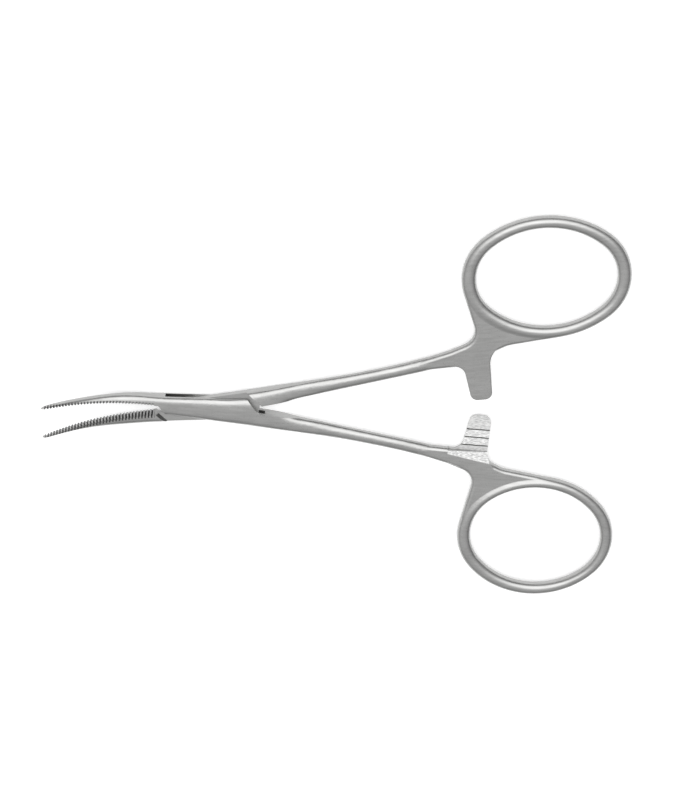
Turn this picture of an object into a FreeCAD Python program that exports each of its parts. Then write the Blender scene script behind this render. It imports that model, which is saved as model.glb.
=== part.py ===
import FreeCAD
import Part
import math
import os

# Curved box lock haemostatic forceps, 12.5 cm pattern.
# Each half is drawn closed, shank towards +X and +Y, jaw towards -X and -Y, hinge axis at the origin.
# The slotted half is then mirrored, and both halves are swung open to the resting position.
# All sizes are millimetres and degrees.

Vector = FreeCAD.Vector

# Resting position
OPEN_EACH = 5.25

# Clearances
GRIP_GAP = 0.05
SLOT_CLEARANCE = 0.04
BORE_CLEARANCE = 0.04
RATCHET_CLEARANCE = 0.04
SHOULDER_CLEARANCE = 0.12

# Box lock
BOX_HALF_THICK = 1.68
BOX_HALF_WIDTH = 2.62
BOX_FLARE = 0.06
BOX_LEFT = -9.0
BOX_RIGHT = 9.0
BOX_FULLNESS = 3.8
REST_LAND_DEPTH = 0.04
TONGUE_HALF_THICK = 0.68
PIN_RADIUS = 1.25
END_ANGLE = 50.0
LEFT_END_X = -10.79
RIGHT_END_X = 10.33
CROTCH_RADIUS = 0.8
LEFT_SHOULDER_SLOPE = 0.45
RIGHT_SHOULDER_GAP = 0.3
RIGHT_SHOULDER_SLOPE = 0.25
SLOT_LEAN = 0.27
SLOT_LEFT = -10.08
SLOT_RIGHT = 11.75
TONGUE_LEFT = -9.93
TONGUE_RIGHT = 10.65

# Jaw
JAW_ROOT = -11.0
JAW_TIP = -34.9
TIP_RISE = 7.2
RISE_POWER = 2.38
TOOTH_PITCH = 0.69
TOOTH_DEPTH = 0.3
TOOTH_WIDTH = 0.56
TOOTH_START = 1.0
TOOTH_STOP = 0.7

# Shank
SHANK_HALF_THICK = 1.0
SHANK_FULLNESS = 2.1
INNER_SLOPE = 0.075
INNER_LEVEL = 0.1
INNER_START = 11.0
MALE_INNER_LEVEL = -0.02
INNER_STOP = 21.0

# Finger ring, web and ratchet tongue
WEB_HALF_THICK = 0.975
WIRE_ROUND = 0.85
TONGUE_ROUND = 0.3
TONGUE_LEFT_FOOT = 55.25
TONGUE_RIGHT_FOOT = 59.7
TONGUE_END = -3.12
TONGUE_CORNER = 1.6
TONGUE_LEFT_RADIUS = 2.4
TONGUE_RIGHT_RADIUS = 4.4
WEB_LEFT_ROOT = (54.1, 4.9)
WEB_LEFT_RADIUS = 3.2
WEB_RIGHT_ROOT = (59.75, 8.5)
WEB_RIGHT_RADIUS = 6.0
WEB_CORNER = (57.6, 10.8)
WEB_CORNER_RADIUS = 3.6
WEB_SHOULDER = (51.5, 8.6)
WEB_SHOULDER_RADIUS = 12.0
NECK = 44.0
NECK_LOW = 4.7
NECK_HIGH = 6.7
NECK_CORNER = 0.98
GROUND_START = 51.2
GROUND_STOP = 62.0
GROUND_MIDDLE = 57.0
GROUND_FOOT = 4.45
GROUND_TOP = 7.1
GROUND_SLANT = 0.18
RATCHET_PITCH = 1.9
RATCHET_DEPTH = 0.36
RATCHET_COUNT = 3
NOTCH_DEPTH = 0.25
NOTCH_FLOOR = 0.3
NOTCH_MOUTH = 0.45

# Share of the web's right edge, from the tongue to the ring, at which the web and the tongue turn
WEB_TURN = 0.25
TONGUE_TURN = 0.45
# How far the hidden upper corners of the tongue lie from the web's corners, inside the web
BURIED_LEFT = (-5.5, 0.75)
BURIED_RIGHT = (4.4, 1.2)
BURIED_RADIUS = 0.8

# Each oval: centre, tilt, half length, half width and end radius
MALE_RIM = ((72.55, 23.52), -2.7, 17.52, 13.7, 11.75)
MALE_HOLE = ((72.61, 23.56), -3.7, 14.6, 11.13, 9.08)
BOX_RIM = ((72.39, 24.82), -1.4, 16.85, 14.48, 12.57)
BOX_HOLE = ((72.47, 24.7), 2.6, 14.19, 11.96, 10.44)

SECTION_POINTS = 24
FAR = 60.0
DEEP = 6.0
TINY = 0.01


def box_half_width(x):
    return BOX_HALF_WIDTH + BOX_FLARE * x


def jaw_share(x):
    return max(0.0, (JAW_ROOT - x) / (JAW_ROOT - JAW_TIP))


def jaw_height(x):
    return TIP_RISE * jaw_share(x) ** RISE_POWER


def jaw_lean(x):
    slope = TIP_RISE * RISE_POWER * jaw_share(x) ** (RISE_POWER - 1.0) / (JAW_ROOT - JAW_TIP)
    return math.atan(slope)


def section(x, middle, half_width, half_thick, fullness, height=0.0, lean=0.0):
    """One closed cross section: a rounded box whose corners sharpen with its fullness."""
    points = []
    steps = []
    for i in range(SECTION_POINTS):
        turn = 2.0 * math.pi * i / SECTION_POINTS
        power = 2.0 / fullness
        across = half_width * math.copysign(abs(math.cos(turn)) ** power, math.cos(turn))
        up = half_thick * math.copysign(abs(math.sin(turn)) ** power, math.sin(turn))
        points.append(Vector(x + up * math.sin(lean), middle + across, height + up * math.cos(lean)))
        steps.append(float(i))
    steps.append(float(SECTION_POINTS))
    curve = Part.BSplineCurve()
    curve.interpolate(Points=points, PeriodicFlag=True, Parameters=steps)
    return Part.Wire([curve.toShape()])


def jaw_sections():
    """Jaw stations from the tip to the root: half width, half thickness and fullness."""
    stations = [
        (-34.9, 0.22, 0.22, 2.2),
        (-34.6, 0.40, 0.40, 2.2),
        (-33.8, 0.55, 0.60, 2.3),
        (-31.0, 0.78, 0.82, 2.3),
        (-27.0, 1.05, 0.98, 2.4),
        (-23.0, 1.42, 1.10, 2.5),
        (-19.0, 1.78, 1.24, 2.7),
        (-15.0, 1.95, 1.42, 3.1),
        (-11.8, 1.98, 1.58, 3.6),
    ]
    wires = []
    for x, wide, thick, fullness in stations:
        wires.append(section(x, 0.0, wide, thick, fullness, jaw_height(x), jaw_lean(x)))
    return wires


def box_sections():
    wires = []
    for x in (BOX_LEFT, 0.5 * BOX_LEFT, 0.0, 0.5 * BOX_RIGHT, BOX_RIGHT):
        wires.append(section(x, 0.0, box_half_width(x), BOX_HALF_THICK, BOX_FULLNESS))
    return wires


def shank_sections():
    """Shank stations: inner edge, outer edge, half thickness and fullness."""
    stations = [
        (13.0, -1.45, 3.47, 1.62, 3.6),
        (17.0, 0.25, 3.82, 1.32, 3.1),
        (21.0, 0.90, 4.18, 1.10, 2.6),
        (25.0, 1.43, 4.52, 1.03, SHANK_FULLNESS),
        (30.0, 2.15, 4.98, SHANK_HALF_THICK, SHANK_FULLNESS),
        (35.0, 2.85, 5.59, SHANK_HALF_THICK, SHANK_FULLNESS),
        (40.0, 3.55, 6.29, SHANK_HALF_THICK, SHANK_FULLNESS),
        (44.0, 4.14, 6.98, SHANK_HALF_THICK + 0.02, SHANK_FULLNESS),
        (47.0, 4.62, 7.55, SHANK_HALF_THICK + 0.01, SHANK_FULLNESS),
        (50.0, 5.20, 8.10, WEB_HALF_THICK - 0.01, SHANK_FULLNESS),
        (54.0, 6.30, 8.90, WEB_HALF_THICK - 0.12, SHANK_FULLNESS),
    ]
    wires = []
    for x, inner, outer, thick, fullness in stations:
        wires.append(section(x, 0.5 * (inner + outer), 0.5 * (outer - inner), thick, fullness))
    return wires


def forged_bar():
    """Jaw, box and shank in one smooth run."""
    return Part.makeLoft(jaw_sections() + box_sections() + shank_sections(), True, False)


def oval(shape):
    """Oval of four tangent arcs: its big radius, the four arc centres and the four joints between arcs."""
    centre, tilt, half_long, half_short, end_radius = shape
    offset = half_long - end_radius
    big = (offset ** 2 + half_short ** 2 - end_radius ** 2) / (2.0 * (half_short - end_radius))
    turn = math.radians(tilt)

    def place(along, across):
        return Vector(centre[0] + along * math.cos(turn) - across * math.sin(turn),
                      centre[1] + along * math.sin(turn) + across * math.cos(turn), 0.0)

    scale = end_radius / (big - end_radius)
    joint_along = offset * (1.0 + scale)
    joint_across = (big - half_short) * scale
    return {
        "big": big,
        "end": end_radius,
        "bottom_centre": place(0.0, big - half_short),
        "left_centre": place(-offset, 0.0),
        "top": place(0.0, half_short),
        "bottom": place(0.0, -half_short),
        "left": place(-half_long, 0.0),
        "right": place(half_long, 0.0),
        "joints": [place(joint_along, -joint_across), place(joint_along, joint_across),
                   place(-joint_along, joint_across), place(-joint_along, -joint_across)],
    }


def arc(first, middle, last):
    return Part.Arc(first, middle, last).toShape()


def oval_wire(shape):
    ring = oval(shape)
    low_right, high_right, high_left, low_left = ring["joints"]
    return Part.Wire([arc(low_right, ring["right"], high_right), arc(high_right, ring["top"], high_left),
                      arc(high_left, ring["left"], low_left), arc(low_left, ring["bottom"], low_right)])


def touch(point, centre, radius, side):
    """Where a straight line from the point just touches the circle."""
    away = point - centre
    turn = math.atan2(away.y, away.x) + side * math.acos(radius / away.Length)
    return centre + Vector(radius * math.cos(turn), radius * math.sin(turn), 0.0)


def halfway(first, last, centre):
    """Middle of the arc between two points of a circle."""
    way = (first + last) * 0.5 - centre
    return centre + way.normalize() * (first - centre).Length


def rounded_run(corners):
    """Straight stretches whose corners, given as x, y and radius, are rounded."""
    points = [Vector(x, y, 0.0) for x, y, radius in corners]
    edges = []
    start = points[0]
    for i in range(1, len(points) - 1):
        back = (points[i - 1] - points[i]).normalize()
        ahead = (points[i + 1] - points[i]).normalize()
        half = 0.5 * back.getAngle(ahead)
        radius = corners[i][2]
        first = points[i] + back * (radius / math.tan(half))
        last = points[i] + ahead * (radius / math.tan(half))
        middle = points[i] + (back + ahead).normalize() * (radius / math.sin(half) - radius)
        edges.append(Part.makeLine(start, first))
        edges.append(arc(first, middle, last))
        start = last
    edges.append(Part.makeLine(start, points[-1]))
    return edges


def flat_plate(edges, half_thick):
    """Flat plate with its mid plane at height zero."""
    face = Part.Face(Part.Wire(edges))
    face.translate(Vector(0.0, 0.0, -half_thick))
    return face.extrude(Vector(0.0, 0.0, 2.0 * half_thick))


def level_edges(shape):
    return [edge for edge in shape.Edges if edge.BoundBox.ZLength < TINY]


def web_root_line(rim):
    """Straight edge from the right root of the tongue to the point where it touches the ring."""
    ring = oval(rim)
    root = Vector(WEB_RIGHT_ROOT[0], WEB_RIGHT_ROOT[1], 0.0)
    return root, touch(root, ring["bottom_centre"], ring["big"], 1.0)


def ring_and_web(rim, hole):
    """Finger ring and web, with the edges of the ring rounded almost to a wire."""
    ring = oval(rim)
    leave = touch(Vector(WEB_CORNER[0], WEB_CORNER[1], 0.0), ring["left_centre"], ring["end"], -1.0)
    root, meet = web_root_line(rim)
    turn = root + (meet - root) * WEB_TURN
    corners = [
        (leave.x, leave.y, 0.0),
        (WEB_CORNER[0], WEB_CORNER[1], WEB_CORNER_RADIUS),
        (WEB_SHOULDER[0], WEB_SHOULDER[1], WEB_SHOULDER_RADIUS),
        (NECK, NECK_HIGH, NECK_CORNER),
        (NECK, NECK_LOW, NECK_CORNER),
        (WEB_LEFT_ROOT[0], WEB_LEFT_ROOT[1], WEB_LEFT_RADIUS),
        (turn.x, turn.y, WEB_RIGHT_RADIUS),
        (meet.x, meet.y, 0.0),
    ]
    low_right, high_right, high_left, low_left = ring["joints"]
    rim_edges = [
        arc(meet, halfway(meet, low_right, ring["bottom_centre"]), low_right),
        arc(low_right, ring["right"], high_right),
        arc(high_right, ring["top"], high_left),
        arc(high_left, halfway(high_left, leave, ring["left_centre"]), leave),
    ]
    plate = flat_plate(rounded_run(corners) + rim_edges, WEB_HALF_THICK)
    plate = plate.cut(flat_plate(oval_wire(hole).Edges, WEB_HALF_THICK))
    return plate.makeFillet(WIRE_ROUND, level_edges(plate))


def tongue(rim):
    """Ratchet tongue, which has crisper edges than the ring. Its upper end is buried in the web."""
    root, meet = web_root_line(rim)
    turn = root + (meet - root) * TONGUE_TURN + Vector(0.0, WIRE_ROUND, 0.0)
    buried_left = Vector(WEB_LEFT_ROOT[0] + BURIED_LEFT[0], WEB_LEFT_ROOT[1] + BURIED_LEFT[1], 0.0)
    buried_right = Vector(WEB_CORNER[0] + BURIED_RIGHT[0], WEB_CORNER[1] + BURIED_RIGHT[1], 0.0)
    start = (buried_left + buried_right) * 0.5
    corners = [
        (start.x, start.y, 0.0),
        (buried_left.x, buried_left.y, BURIED_RADIUS),
        (WEB_LEFT_ROOT[0], WEB_LEFT_ROOT[1], TONGUE_LEFT_RADIUS),
        (TONGUE_LEFT_FOOT, TONGUE_END, TONGUE_CORNER),
        (TONGUE_RIGHT_FOOT, TONGUE_END, TONGUE_CORNER),
        (root.x, root.y, TONGUE_RIGHT_RADIUS),
        (turn.x, turn.y, BURIED_RADIUS),
        (buried_right.x, buried_right.y, BURIED_RADIUS),
        (start.x, start.y, 0.0),
    ]
    plate = flat_plate(rounded_run(corners), WEB_HALF_THICK)
    return plate.makeFillet(TONGUE_ROUND, level_edges(plate))


def prism(points, bottom, top):
    """Upright block from plan view corners."""
    corners = [Vector(x, y, bottom) for x, y in points]
    face = Part.Face(Part.makePolygon(corners + corners[:1]))
    return face.extrude(Vector(0.0, 0.0, top - bottom))


def end_line(foot, y, shift=0.0):
    """Station at height y of a slanted end that meets the centre line at foot."""
    lean = math.radians(END_ANGLE)
    return foot + y / math.tan(lean) + shift / math.sin(lean)


def inner_edge(x, level):
    """Inner side of the shank root, which is dressed flat."""
    return level + INNER_SLOPE * (x - INNER_START)


def grooves(phase):
    """Row of cross cuts that leaves the teeth of the gripping face."""
    tools = []
    x = JAW_ROOT - TOOTH_START - phase * TOOTH_PITCH
    while x > JAW_TIP + TOOTH_STOP:
        lean = jaw_lean(x)
        along = Vector(math.cos(lean), 0.0, -math.sin(lean))
        up = Vector(math.sin(lean), 0.0, math.cos(lean))
        middle = Vector(x, -GRIP_GAP, jaw_height(x)) - up * DEEP * 0.5
        near = middle + along * (0.5 * TOOTH_WIDTH) + Vector(0.0, TINY, 0.0)
        far = middle - along * (0.5 * TOOTH_WIDTH) + Vector(0.0, TINY, 0.0)
        root = middle - Vector(0.0, TOOTH_DEPTH, 0.0)
        face = Part.Face(Part.makePolygon([near, root, far, near]))
        tools.append(face.extrude(up * DEEP))
        x = x - TOOTH_PITCH * math.cos(lean)
    return tools


def ratchet_tool(side):
    """Grinding cut on one face of the ratchet tongue: a row of steps and a slope up to the web."""
    crest = -RATCHET_CLEARANCE
    root = crest - RATCHET_DEPTH
    profile = [(TONGUE_END - RATCHET_PITCH, root), (TONGUE_END, root)]
    for i in range(RATCHET_COUNT):
        foot = RATCHET_PITCH * i
        profile.append((foot, crest))
        profile.append((foot, root - NOTCH_DEPTH))
        profile.append((foot + NOTCH_FLOOR, root - NOTCH_DEPTH))
        profile.append((foot + NOTCH_MOUTH, root))
    floor_end = GROUND_FOOT + 0.5 * RATCHET_PITCH
    profile.append((floor_end, root))
    profile.append((floor_end, DEEP))
    profile.append((TONGUE_END - RATCHET_PITCH, DEEP))
    corners = [Vector(GROUND_START, y, side * z) for y, z in profile]
    length = GROUND_STOP - GROUND_START
    steps = Part.Face(Part.makePolygon(corners + corners[:1])).extrude(Vector(length, 0.0, 0.0))
    lean = (GROUND_TOP - GROUND_FOOT) / (WEB_HALF_THICK - root)
    back = GROUND_SLANT * (GROUND_START - GROUND_MIDDLE)
    foot = Vector(GROUND_START, GROUND_FOOT + back, side * root)
    high = Vector(GROUND_START, foot.y + lean * (DEEP - root), side * DEEP)
    upright = Vector(GROUND_START, foot.y, side * DEEP)
    slope = Part.Face(Part.makePolygon([foot, high, upright, foot]))
    return steps, slope.extrude(Vector(length, GROUND_SLANT * length, 0.0))


def blank(rim, hole):
    """Whole half before the joint, teeth and ratchet are cut."""
    return forged_bar().fuse([ring_and_web(rim, hole), tongue(rim)]).removeSplitter()


def pin_rod(radius):
    return Part.makeCylinder(radius, 2.0 * DEEP, Vector(0.0, 0.0, -DEEP))


def rest_cut():
    """Everything below the flat land ground on the underside of the box."""
    low = -BOX_HALF_THICK + REST_LAND_DEPTH
    return Part.makeBox(4.0 * DEEP, 4.0 * DEEP, DEEP, Vector(-2.0 * DEEP, -2.0 * DEEP, low - DEEP))


def slotted_half():
    """Half with the two cover plates, drawn like the male half and mirrored when it is placed."""
    body = blank(BOX_RIM, BOX_HOLE)
    grip = prism([(-FAR, -GRIP_GAP), (end_line(LEFT_END_X, -GRIP_GAP), -GRIP_GAP),
                  (end_line(LEFT_END_X, DEEP), DEEP), (-FAR, DEEP)], -DEEP, 2.0 * DEEP)
    corner_y = inner_edge(RIGHT_END_X, INNER_LEVEL)
    corner_x = end_line(RIGHT_END_X, corner_y)
    crotch = prism([(end_line(RIGHT_END_X, -DEEP), -DEEP), (INNER_STOP, -DEEP),
                    (INNER_STOP, inner_edge(INNER_STOP, INNER_LEVEL)), (corner_x, corner_y)], -DEEP, DEEP)
    upright = []
    for edge in crotch.Edges:
        box = edge.BoundBox
        if abs(box.XMin - corner_x) < TINY and box.XLength < TINY and box.ZLength > DEEP:
            upright.append(edge)
    crotch = crotch.makeFillet(CROTCH_RADIUS, upright)
    slot_half = TONGUE_HALF_THICK + SLOT_CLEARANCE
    reach = SLOT_LEAN * DEEP
    slot = prism([(SLOT_LEFT + reach, -DEEP), (SLOT_RIGHT + reach, -DEEP), (SLOT_RIGHT - reach, DEEP),
                  (JAW_ROOT - 1.0, DEEP), (JAW_ROOT - 1.0, -GRIP_GAP), (SLOT_LEFT, -GRIP_GAP)],
                 -slot_half, slot_half)
    body = body.cut([grip, crotch, slot, pin_rod(PIN_RADIUS), rest_cut()])
    return body.cut(grooves(0.0) + list(ratchet_tool(1.0)))


def thinning(side):
    """Block that thins the middle of the male half to its tongue, with a sloped shoulder at each end."""
    full = BOX_HALF_THICK - TONGUE_HALF_THICK
    outlines = []
    for level, share in ((TONGUE_HALF_THICK, 0.0), (DEEP, (DEEP - TONGUE_HALF_THICK) / full)):
        left = -SHOULDER_CLEARANCE - share * LEFT_SHOULDER_SLOPE
        right = RIGHT_SHOULDER_GAP + share * RIGHT_SHOULDER_SLOPE
        corners = [Vector(end_line(LEFT_END_X, -DEEP, left), DEEP, side * level),
                   Vector(end_line(RIGHT_END_X, -DEEP, right), DEEP, side * level),
                   Vector(end_line(RIGHT_END_X, DEEP, right), -DEEP, side * level),
                   Vector(end_line(LEFT_END_X, DEEP, left), -DEEP, side * level)]
        outlines.append(Part.makePolygon(corners + corners[:1]))
    return Part.makeLoft(outlines, True, True)


def male_half():
    """Half whose thinned middle runs through the slot."""
    body = blank(MALE_RIM, MALE_HOLE)
    reach = SLOT_LEAN * DEEP
    grip = prism([(-FAR, -GRIP_GAP), (TONGUE_LEFT, -GRIP_GAP), (TONGUE_LEFT + reach, DEEP), (-FAR, DEEP)],
                 -DEEP, 2.0 * DEEP)
    crotch = prism([(TONGUE_RIGHT - reach, -DEEP), (INNER_STOP, -DEEP),
                    (INNER_STOP, inner_edge(INNER_STOP, MALE_INNER_LEVEL)),
                    (TONGUE_RIGHT, inner_edge(TONGUE_RIGHT, MALE_INNER_LEVEL))], -DEEP, DEEP)
    bore = pin_rod(PIN_RADIUS + BORE_CLEARANCE)
    body = body.cut([grip, crotch, thinning(1.0), thinning(-1.0), bore])
    return body.cut(grooves(0.5) + list(ratchet_tool(-1.0)))


def pivot_pin():
    """Riveted pin dressed flush with both cover plates."""
    return forged_bar().common(pin_rod(PIN_RADIUS)).cut(rest_cut())


def placed(shape, swing):
    """Swing a half open and lift it so that the ground land lies on the table."""
    moved = shape.copy()
    moved.rotate(Vector(0.0, 0.0, 0.0), Vector(0.0, 0.0, 1.0), swing)
    moved.translate(Vector(0.0, 0.0, BOX_HALF_THICK - REST_LAND_DEPTH))
    return moved


os.makedirs("parts", exist_ok=True)
centre = Vector(0.0, 0.0, 0.0)
across = Vector(0.0, 1.0, 0.0)
placed(slotted_half().mirror(centre, across), -OPEN_EACH).exportStep("parts/box_half.step")
placed(male_half(), OPEN_EACH).exportStep("parts/male_half.step")
placed(pivot_pin().mirror(centre, across), -OPEN_EACH).exportStep("parts/pivot_pin.step")
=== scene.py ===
import math
import bpy
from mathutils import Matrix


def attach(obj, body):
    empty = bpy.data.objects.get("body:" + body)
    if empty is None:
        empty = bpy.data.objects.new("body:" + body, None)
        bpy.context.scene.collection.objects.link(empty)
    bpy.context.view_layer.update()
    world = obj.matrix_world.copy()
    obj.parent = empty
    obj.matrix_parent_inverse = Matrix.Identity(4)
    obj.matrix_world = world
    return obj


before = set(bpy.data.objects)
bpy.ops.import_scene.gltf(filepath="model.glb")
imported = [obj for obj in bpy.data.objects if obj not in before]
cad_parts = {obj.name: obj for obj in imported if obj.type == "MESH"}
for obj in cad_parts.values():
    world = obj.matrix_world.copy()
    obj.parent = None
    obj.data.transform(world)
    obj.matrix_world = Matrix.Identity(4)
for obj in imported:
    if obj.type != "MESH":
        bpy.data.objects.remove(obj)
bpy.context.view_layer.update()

# Curved haemostatic forceps lying open on a white table.
# Sizes are metres in the frame of the solids, unless a comment says millimetres.

# Camera: it looks at the middle of the forceps and leans back towards the far side of the table
CAMERA_TILT = math.radians(27.1)
CAMERA_DISTANCE = 0.530
CAMERA_AIM = (0.0270, 0.00052, 0.00164)
SENSOR_MM = 36.0
LENS_MM = 111.4

# Room light by the sine of the height above the horizon
ROOM_LEVELS = [(0.0, 0.26), (0.24, 0.28), (0.50, 0.52), (0.86, 0.73), (1.0, 0.84)]
# Broad softbox high above the far side of the table. Its limits are cosines from its middle.
SOFTBOX_LEVEL = 1.95
SOFTBOX_ANGLE = math.radians(24.0)
SOFTBOX_EDGE = 0.74
SOFTBOX_CORE = 0.97
# Weaker light from the left, by how far a direction points to the right
LEFT_LEVEL = 0.36
LEFT_START = 0.10
LEFT_FULL = -0.90

# Table, a hair below the lowest point of the forceps
TABLE_HALF = 3.0
TABLE_DROP = 0.00002
TABLE_COLOUR = (0.80, 0.80, 0.80, 1.0)
TABLE_ROUGHNESS = 0.9
TABLE_GLOSS = 0.1
TABLE_GLOW = 0.40
WHITE = (1.0, 1.0, 1.0, 1.0)

# The solids are drawn in millimetres with the forceps closed, then each half swings open
MILLIMETRE = 0.001
SWING = math.radians(5.25)
PIVOT_HEIGHT = 0.00164

# Satin steel. A noise is its scale, its detail and its stretch along the grain.
STEEL_DARK = (0.34, 0.34, 0.335, 1.0)
STEEL_LIGHT = (0.48, 0.48, 0.475, 1.0)
GRAIN_LEAN = math.radians(4.0)
GRAIN = (2200.0, 4.0, 9.0)
SPECKLE = (5200.0, 2.0, 1.0)
CLOUD = (170.0, 3.0, 2.0)
GRAIN_SHARE = 0.45
SPECKLE_SHARE = 0.25
CLOUD_SHARE = 0.30
TONE_LIMITS = (0.30, 0.70)
ROUGHNESS = 0.23
SPECKLE_ROUGHNESS = 0.14
SPECKLE_HEIGHT = 0.4
BUMP_STRENGTH = 0.5
BUMP_DEPTH = 0.00001

# Painted shade in creases and hollows: a darker colour by how little of the surroundings is open
CREVICE_SHADE_REACH = 0.00035
CREVICE_SHADE_SAMPLES = 8
CREVICE_SHADE_LIMITS = (0.25, 0.80)
CREVICE_SHADE_COLOUR = (0.06, 0.06, 0.06, 1.0)

# Above every value that is tested against an upper limit
NO_LIMIT = 2.0

# Ground faces of the ratchet: where they are, and how level they have to be
GROUND_X = (0.0505, 0.0625)
SLOTTED_GROUND_Y = (-0.0140, 0.0)
MALE_GROUND_Y = (0.0, 0.0140)
GROUND_SOFT = 0.0001
WEB_HALF_THICK = 0.000975
WEB_MARGIN = 0.00002
GROUND_LEVEL = 0.80
GROUND_LEVEL_SOFT = 0.05
# Their scoring
SCORE = (6500.0, 4.0, 5.0)
SCORE_LEAN = math.radians(4.0)
SCORE_LIMITS = (0.38, 0.60)
SCORE_HEIGHT = 2.0
GROUND_LIGHT = (0.76, 0.76, 0.755, 1.0)
GROUND_DARK = (0.42, 0.42, 0.42, 1.0)
GROUND_ROUGHNESS = 0.24
# Share of the painted shade in creases taken off the ground faces
GROUND_SHADE_LIFT = 0.6
# The ones that lie level or almost level get a painted highlight: they are painted lighter
GENTLE_LEVEL = 0.985
GENTLE_LEVEL_SOFT = 0.012
GENTLE_PAINTED_HIGHLIGHT = (0.95, 0.95, 0.945, 1.0)
GENTLE_HIGHLIGHT_SHARE = 0.40
GENTLE_ROUGHNESS = 0.2

# Painted shade in the run-outs of the cross grooves along the edge of each gripping face, in millimetres,
# forceps closed.
# The grooves are evenly spaced along the curve of the jaw, whose length is
# JAW_LENGTH * (share + CURVE_GAIN * share ** CURVE_POWER) at a share of the way to the tip.
JAW_ROOT = -11.0
JAW_LENGTH = 23.9
CURVE_GAIN = 0.0614
CURVE_POWER = 3.75
TOOTH_START = 1.0
TOOTH_PITCH = 0.69
MALE_TOOTH_PHASE = 0.5
TOOTH_SPAN = (-34.5, -11.7)
TOOTH_SPAN_SOFT = 0.05
GROOVE_WAVE = -0.05
GROOVE_WAVE_SOFT = 0.35
GRIP_PLANE = -0.05
RUN_OUT = 0.62
RUN_OUT_END = 1.0
RUN_OUT_SOFT = 0.12
GROOVE_PAINTED_SHADE = (0.085, 0.085, 0.085, 1.0)

# Round wire of each finger ring, in millimetres like the solids.
# An oval is its centre, tilt, half length, half width and end radius, drawn with the forceps closed.
RINGS = [
    ("slotted_ring_wire", "slotted_side", "slotted_half_steel", -1.0,
     ((72.39, 24.82), -1.4, 16.85, 14.48, 12.57), ((72.47, 24.7), 2.6, 14.19, 11.96, 10.44)),
    ("male_ring_wire", "male_side", "male_half_steel", 1.0,
     ((72.55, 23.52), -2.7, 17.52, 13.7, 11.75), ((72.61, 23.56), -3.7, 14.6, 11.13, 9.08)),
]
WIRE_SKIN = 0.01
WIRE_HALF_THICK = 1.28
WIRE_FULLNESS = 2.2
WIRE_STEPS = 256
WIRE_POINTS = 36
RAY_LENGTH = 30.0
RAY_HALVINGS = 40
# The wire fades into the flat web between these directions from the middle of the ring
WEB_FACE = 0.965
WEB_TURNS = [(186.0, 0.0), (206.0, 1.0), (258.0, 1.0), (284.0, 0.0)]


def set_camera():
    data = bpy.data.cameras.new("camera")
    data.lens = LENS_MM
    data.sensor_width = SENSOR_MM
    camera = bpy.data.objects.new("camera", data)
    camera.location = (CAMERA_AIM[0], CAMERA_AIM[1] + CAMERA_DISTANCE * math.sin(CAMERA_TILT),
                       CAMERA_AIM[2] + CAMERA_DISTANCE * math.cos(CAMERA_TILT))
    camera.rotation_euler = (-CAMERA_TILT, 0.0, 0.0)
    bpy.context.scene.collection.objects.link(camera)
    bpy.context.scene.camera = camera


def soft_rise(nodes, start, full, level):
    """Node whose result rises smoothly from nothing at the start to the level at the full value."""
    node = nodes.new("ShaderNodeMapRange")
    node.interpolation_type = "SMOOTHSTEP"
    node.inputs["From Min"].default_value = start
    node.inputs["From Max"].default_value = full
    node.inputs["To Max"].default_value = level
    return node


def set_world():
    """Soft grey room, darker at the horizon, with a softbox high on the far side and light from the left."""
    world = bpy.data.worlds.new("studio")
    bpy.context.scene.world = world
    world.use_nodes = True
    nodes = world.node_tree.nodes
    links = world.node_tree.links
    nodes.clear()
    place = nodes.new("ShaderNodeTexCoord")
    parts = nodes.new("ShaderNodeSeparateXYZ")
    links.new(place.outputs["Generated"], parts.inputs[0])
    room = nodes.new("ShaderNodeValToRGB")
    ramp = room.color_ramp
    ramp.interpolation = "EASE"
    while len(ramp.elements) < len(ROOM_LEVELS):
        ramp.elements.new(0.5)
    for element, (height, level) in zip(ramp.elements, ROOM_LEVELS):
        element.position = height
        element.color = (level, level, level, 1.0)
    links.new(parts.outputs["Z"], room.inputs["Fac"])

    towards = nodes.new("ShaderNodeVectorMath")
    towards.operation = "DOT_PRODUCT"
    towards.inputs[1].default_value = (0.0, math.sin(SOFTBOX_ANGLE), math.cos(SOFTBOX_ANGLE))
    links.new(place.outputs["Generated"], towards.inputs[0])
    softbox = soft_rise(nodes, SOFTBOX_EDGE, SOFTBOX_CORE, SOFTBOX_LEVEL)
    links.new(towards.outputs["Value"], softbox.inputs["Value"])
    left = soft_rise(nodes, LEFT_START, LEFT_FULL, LEFT_LEVEL)
    links.new(parts.outputs["X"], left.inputs["Value"])
    lamps = nodes.new("ShaderNodeMath")
    lamps.operation = "ADD"
    links.new(softbox.outputs["Result"], lamps.inputs[0])
    links.new(left.outputs["Result"], lamps.inputs[1])

    room_light = nodes.new("ShaderNodeBackground")
    links.new(room.outputs["Color"], room_light.inputs["Color"])
    lamp_light = nodes.new("ShaderNodeBackground")
    links.new(lamps.outputs[0], lamp_light.inputs["Strength"])
    both = nodes.new("ShaderNodeAddShader")
    output = nodes.new("ShaderNodeOutputWorld")
    links.new(room_light.outputs[0], both.inputs[0])
    links.new(lamp_light.outputs[0], both.inputs[1])
    links.new(both.outputs[0], output.inputs["Surface"])


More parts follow.
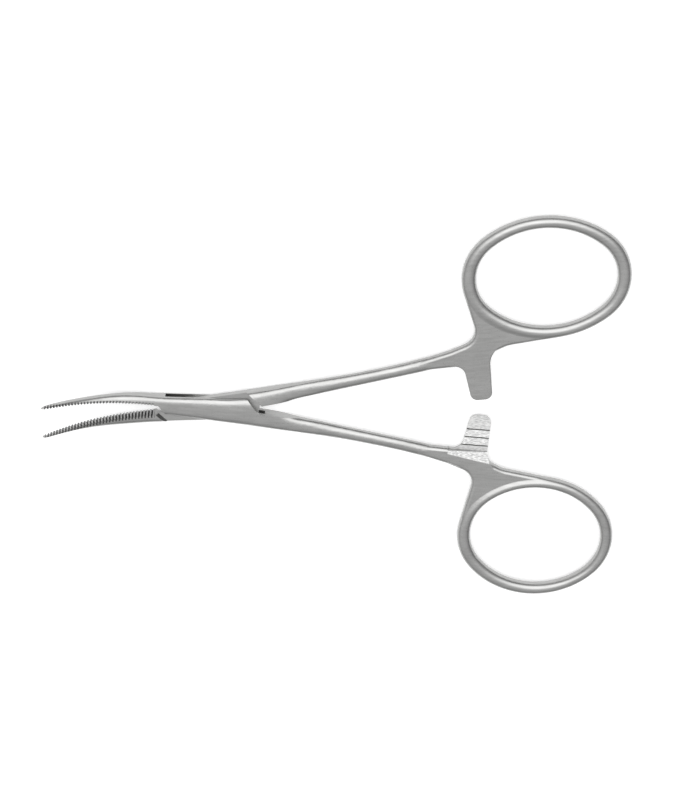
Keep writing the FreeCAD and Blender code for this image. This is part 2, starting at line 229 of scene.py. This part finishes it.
class Paint:
    """Short ways to add nodes to one material."""

    def __init__(self, name):
        self.material = bpy.data.materials.new(name)
        self.material.use_nodes = True
        self.nodes = self.material.node_tree.nodes
        self.links = self.material.node_tree.links
        self.shader = self.nodes["Principled BSDF"]

    def feed(self, socket, value):
        if isinstance(value, bpy.types.NodeSocket):
            self.links.new(value, socket)
        else:
            socket.default_value = value

    def math(self, operation, first, second=0.0, third=0.0):
        node = self.nodes.new("ShaderNodeMath")
        node.operation = operation
        for socket, value in zip(node.inputs, (first, second, third)):
            self.feed(socket, value)
        return node.outputs[0]

    def split(self, vector):
        node = self.nodes.new("ShaderNodeSeparateXYZ")
        self.links.new(vector, node.inputs[0])
        return node.outputs

    def noise(self, place, kind, turn):
        scale, detail, stretch = kind
        mapping = self.nodes.new("ShaderNodeMapping")
        mapping.vector_type = "TEXTURE"
        mapping.inputs["Rotation"].default_value = (0.0, 0.0, turn)
        mapping.inputs["Scale"].default_value = (stretch, 1.0, 1.0)
        self.links.new(place, mapping.inputs["Vector"])
        node = self.nodes.new("ShaderNodeTexNoise")
        node.inputs["Scale"].default_value = scale
        node.inputs["Detail"].default_value = detail
        self.links.new(mapping.outputs["Vector"], node.inputs["Vector"])
        return node.outputs["Fac"]

    def rise(self, value, limits):
        """Nothing up to the first limit, one from the second, and straight between them."""
        node = self.nodes.new("ShaderNodeMapRange")
        node.inputs["From Min"].default_value = limits[0]
        node.inputs["From Max"].default_value = limits[1]
        self.links.new(value, node.inputs["Value"])
        return node.outputs["Result"]

    def between(self, value, low, high, soft):
        """One inside the limits and nothing outside, with a soft edge."""
        rise = self.math("MULTIPLY", self.math("SUBTRACT", value, low), 1.0 / soft)
        fall = self.math("MULTIPLY", self.math("SUBTRACT", high, value), 1.0 / soft)
        inside = self.math("MINIMUM", rise, fall)
        inside = self.math("MINIMUM", inside, 1.0)
        return self.math("MAXIMUM", inside, 0.0)

    def blend(self, share, first, second):
        node = self.nodes.new("ShaderNodeMixRGB")
        self.feed(node.inputs["Fac"], share)
        self.feed(node.inputs["Color1"], first)
        self.feed(node.inputs["Color2"], second)
        return node.outputs["Color"]


def add_table():
    """White table: it keeps the soft shadow, and both the camera and the steel see it as white."""
    half = TABLE_HALF
    mesh = bpy.data.meshes.new("table")
    mesh.from_pydata([(-half, -half, 0.0), (half, -half, 0.0), (half, half, 0.0), (-half, half, 0.0)],
                     [], [(0, 1, 2, 3)])
    table = bpy.data.objects.new("table", mesh)
    table.location = (0.0, 0.0, -TABLE_DROP)
    bpy.context.scene.collection.objects.link(table)
    paint = Paint("white_table")
    sockets = paint.shader.inputs
    sockets["Base Color"].default_value = TABLE_COLOUR
    sockets["Roughness"].default_value = TABLE_ROUGHNESS
    sockets["Specular IOR Level"].default_value = TABLE_GLOSS
    sockets["Emission Color"].default_value = WHITE
    path = paint.nodes.new("ShaderNodeLightPath")
    seen = paint.math("MAXIMUM", path.outputs["Is Camera Ray"], path.outputs["Is Glossy Ray"])
    seen = paint.math("MAXIMUM", seen, path.outputs["Is Transmission Ray"])
    paint.feed(sockets["Emission Strength"], paint.math("MULTIPLY", seen, TABLE_GLOW))
    mesh.materials.append(paint.material)


def ground_mask(paint, spot, level, facing):
    """Where the ratchet was ground: inside its limits, past the web's face and nearly level."""
    if facing > 0.0:
        limits = SLOTTED_GROUND_Y
        low = 0.0
        high = PIVOT_HEIGHT + WEB_HALF_THICK - WEB_MARGIN
    else:
        limits = MALE_GROUND_Y
        low = PIVOT_HEIGHT - WEB_HALF_THICK + WEB_MARGIN
        high = NO_LIMIT
    mask = paint.between(spot["X"], GROUND_X[0], GROUND_X[1], GROUND_SOFT)
    mask = paint.math("MULTIPLY", mask, paint.between(spot["Y"], limits[0], limits[1], GROUND_SOFT))
    mask = paint.math("MULTIPLY", mask, paint.between(spot["Z"], low, high, WEB_MARGIN))
    return paint.math("MULTIPLY", mask, paint.between(level, GROUND_LEVEL, NO_LIMIT, GROUND_LEVEL_SOFT))


def groove_shade_mask(paint, spot, facing):
    """Where painted shade goes: the run-outs of the cross grooves over the edge of the gripping face."""
    cosine = math.cos(SWING) / MILLIMETRE
    sine = math.sin(SWING) / MILLIMETRE
    along = paint.math("MULTIPLY", spot["X"], cosine)
    along = paint.math("MULTIPLY_ADD", spot["Y"], -facing * sine, along)
    aside = paint.math("MULTIPLY", spot["Y"], -facing * cosine)
    aside = paint.math("MULTIPLY_ADD", spot["X"], -sine, aside)
    share = paint.math("MULTIPLY", paint.math("SUBTRACT", JAW_ROOT, along), 1.0 / JAW_LENGTH)
    share = paint.math("MAXIMUM", share, 0.0)
    curve = paint.math("MULTIPLY_ADD", paint.math("POWER", share, CURVE_POWER), CURVE_GAIN, share)
    start = TOOTH_START / TOOTH_PITCH
    if facing < 0.0:
        start = start + MALE_TOOTH_PHASE
    count = paint.math("MULTIPLY_ADD", curve, JAW_LENGTH / TOOTH_PITCH, -start)
    wave = paint.math("COSINE", paint.math("MULTIPLY", count, 2.0 * math.pi))
    mask = paint.between(wave, GROOVE_WAVE, NO_LIMIT, GROOVE_WAVE_SOFT)
    mask = paint.math("MULTIPLY", mask, paint.between(along, TOOTH_SPAN[0], TOOTH_SPAN[1], TOOTH_SPAN_SOFT))
    edge = paint.between(aside, GRIP_PLANE - RUN_OUT, RUN_OUT_END, RUN_OUT_SOFT)
    return paint.math("MULTIPLY", mask, edge)


def satin_steel(name, facing):
    """Satin steel: grain along the shanks, cloudy tone, hair lines and painted shade in the creases and
    hollows.

    Facing is 1 for the half whose ratchet steps face up, -1 for the half whose steps face down, and 0
    for the pin. Both halves also have a scored ratchet and painted shade in the run-outs of the grooves.
    """
    paint = Paint(name)
    paint.shader.inputs["Metallic"].default_value = 1.0
    place = paint.nodes.new("ShaderNodeTexCoord").outputs["Object"]
    turn = GRAIN_LEAN if facing < 0.0 else -GRAIN_LEAN
    grain = paint.noise(place, GRAIN, turn)
    speckle = paint.noise(place, SPECKLE, turn)
    cloud = paint.noise(place, CLOUD, turn)
    tone = paint.math("MULTIPLY", grain, GRAIN_SHARE)
    tone = paint.math("MULTIPLY_ADD", speckle, SPECKLE_SHARE, tone)
    tone = paint.math("MULTIPLY_ADD", cloud, CLOUD_SHARE, tone)
    colour = paint.blend(paint.rise(tone, TONE_LIMITS), STEEL_DARK, STEEL_LIGHT)
    height = paint.math("MULTIPLY_ADD", speckle, SPECKLE_HEIGHT, grain)
    rough = paint.math("MULTIPLY_ADD", speckle, SPECKLE_ROUGHNESS, ROUGHNESS)

    # Painted shade: the colour darkens where little of the surroundings is open, in creases and hollows
    crevice_shade = paint.nodes.new("ShaderNodeAmbientOcclusion")
    crevice_shade.only_local = True
    crevice_shade.samples = CREVICE_SHADE_SAMPLES
    crevice_shade.inputs["Distance"].default_value = CREVICE_SHADE_REACH
    clear = paint.rise(crevice_shade.outputs["AO"], CREVICE_SHADE_LIMITS)

    if facing:
        spot = paint.split(place)
        normal = paint.nodes.new("ShaderNodeNewGeometry").outputs["True Normal"]
        level = paint.math("MULTIPLY", paint.split(normal)["Z"], facing)
        mask = ground_mask(paint, spot, level, facing)
        score = paint.noise(place, SCORE, turn + SCORE_LEAN)
        scored = paint.blend(paint.rise(score, SCORE_LIMITS), GROUND_DARK, GROUND_LIGHT)
        colour = paint.blend(mask, colour, scored)
        height = paint.math("MULTIPLY_ADD", paint.math("MULTIPLY", mask, score), SCORE_HEIGHT, height)
        rough = paint.math("MULTIPLY_ADD", mask, GROUND_ROUGHNESS, rough)
        # Painted highlight on the ground faces that lie level
        level_highlight = paint.between(level, GENTLE_LEVEL, NO_LIMIT, GENTLE_LEVEL_SOFT)
        level_highlight = paint.math("MULTIPLY", mask, level_highlight)
        colour = paint.blend(paint.math("MULTIPLY", level_highlight, GENTLE_HIGHLIGHT_SHARE), colour, GENTLE_PAINTED_HIGHLIGHT)
        rough = paint.math("MULTIPLY_ADD", level_highlight, GENTLE_ROUGHNESS, rough)
        # Less painted shade on the ground faces
        clear = paint.math("MULTIPLY_ADD", mask, GROUND_SHADE_LIFT, clear)
    # Blend the painted shade of creases and hollows into the colour
    colour = paint.blend(paint.math("MINIMUM", clear, 1.0), CREVICE_SHADE_COLOUR, colour)
    # Painted shade in the run-outs of the grooves along the gripping faces
    if facing:
        colour = paint.blend(groove_shade_mask(paint, spot, facing), colour, GROOVE_PAINTED_SHADE)
    paint.feed(paint.shader.inputs["Base Color"], colour)
    paint.feed(paint.shader.inputs["Roughness"], rough)

    bump = paint.nodes.new("ShaderNodeBump")
    bump.inputs["Strength"].default_value = BUMP_STRENGTH
    bump.inputs["Distance"].default_value = BUMP_DEPTH
    paint.feed(bump.inputs["Height"], height)
    paint.feed(paint.shader.inputs["Normal"], bump.outputs["Normal"])
    return paint.material


def oval_distance(shape, x, y):
    """Distance of a point outside an oval of four tangent arcs, negative inside it."""
    centre, tilt, half_long, half_short, end_radius = shape
    turn = math.radians(tilt)
    along = abs((x - centre[0]) * math.cos(turn) + (y - centre[1]) * math.sin(turn))
    across = abs((y - centre[1]) * math.cos(turn) - (x - centre[0]) * math.sin(turn))
    offset = half_long - end_radius
    big = (offset ** 2 + half_short ** 2 - end_radius ** 2) / (2.0 * (half_short - end_radius))
    depth = big - half_short
    if offset * (across + depth) < depth * along:
        return math.hypot(along - offset, across) - end_radius
    return math.hypot(along, across + depth) - big


def reach(shape, origin, turn):
    """How far from the origin, which is inside the oval, a ray comes to the oval."""
    near = 0.0
    far = RAY_LENGTH
    for _ in range(RAY_HALVINGS):
        middle = 0.5 * (near + far)
        x = origin[0] + middle * math.cos(turn)
        y = origin[1] + middle * math.sin(turn)
        if oval_distance(shape, x, y) < 0.0:
            near = middle
        else:
            far = middle
    return near


def web_share(degrees):
    """One where the wire runs along the web and nothing where it runs free."""
    for (start, first), (stop, last) in zip(WEB_TURNS, WEB_TURNS[1:]):
        if start <= degrees <= stop:
            share = (degrees - start) / (stop - start)
            return first + (last - first) * share * share * (3.0 - 2.0 * share)
    return 0.0


def wire_height(across, up, web):
    """Height of the wire's skin: a full oval section, or a fall to the web's face on its outer side."""
    level = WIRE_HALF_THICK * abs(up) ** (2.0 / WIRE_FULLNESS)
    if across > 0.0:
        fall = WEB_FACE + (WIRE_HALF_THICK - WEB_FACE) * (1.0 - across) ** 2 * (1.0 + 2.0 * across)
        level = level + web * (fall - level)
    return math.copysign(level, up)


def wire_loop(degrees, side, rim, hole):
    """Points round the wire's section in one direction from the middle of the ring."""
    origin = hole[0]
    turn = math.radians(degrees)
    swing = side * SWING
    inner = reach(hole, origin, turn) - WIRE_SKIN
    outer = reach(rim, origin, turn) + WIRE_SKIN
    web = web_share(degrees)
    points = []
    for j in range(WIRE_POINTS):
        round_turn = 2.0 * math.pi * (j + 0.5) / WIRE_POINTS
        cosine = math.cos(round_turn)
        across = math.copysign(abs(cosine) ** (2.0 / WIRE_FULLNESS), cosine)
        away = 0.5 * (inner + outer) + 0.5 * (outer - inner) * across
        height = wire_height(across, math.sin(round_turn), web)
        x = origin[0] + away * math.cos(turn)
        y = side * (origin[1] + away * math.sin(turn))
        points.append(((x * math.cos(swing) - y * math.sin(swing)) * MILLIMETRE,
                       (x * math.sin(swing) + y * math.cos(swing)) * MILLIMETRE,
                       PIVOT_HEIGHT + height * MILLIMETRE))
    return points


def add_ring_wire(name, body, slot, side, rim, hole, material):
    """Round wire of a finger ring, drawn tightly round the ring of the solid."""
    points = []
    faces = []
    for i in range(WIRE_STEPS):
        points.extend(wire_loop(360.0 * i / WIRE_STEPS, side, rim, hole))
        here = i * WIRE_POINTS
        ahead = (i + 1) % WIRE_STEPS * WIRE_POINTS
        for j in range(WIRE_POINTS):
            beside = (j + 1) % WIRE_POINTS
            face = (here + j, ahead + j, ahead + beside, here + beside)
            faces.append(face[::-1] if side > 0.0 else face)
    mesh = bpy.data.meshes.new(name)
    mesh.from_pydata(points, [], faces)
    for polygon in mesh.polygons:
        polygon.use_smooth = True
    mesh.materials.append(material)
    wire = bpy.data.objects.new(name, mesh)
    bpy.context.scene.collection.objects.link(wire)
    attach(wire, body)


def dress(node, material):
    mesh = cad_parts[node].data
    mesh.materials.clear()
    mesh.materials.append(material)


set_camera()
set_world()
add_table()
steels = [satin_steel("satin_steel_slotted", 1.0), satin_steel("satin_steel_male", -1.0)]
dress("box_half", steels[0])
dress("male_half", steels[1])
dress("pivot_pin", satin_steel("satin_steel_pin", 0.0))
for ring, steel in zip(RINGS, steels):
    add_ring_wire(*ring, steel)

bpy.context.scene.view_settings.view_transform = "Standard"
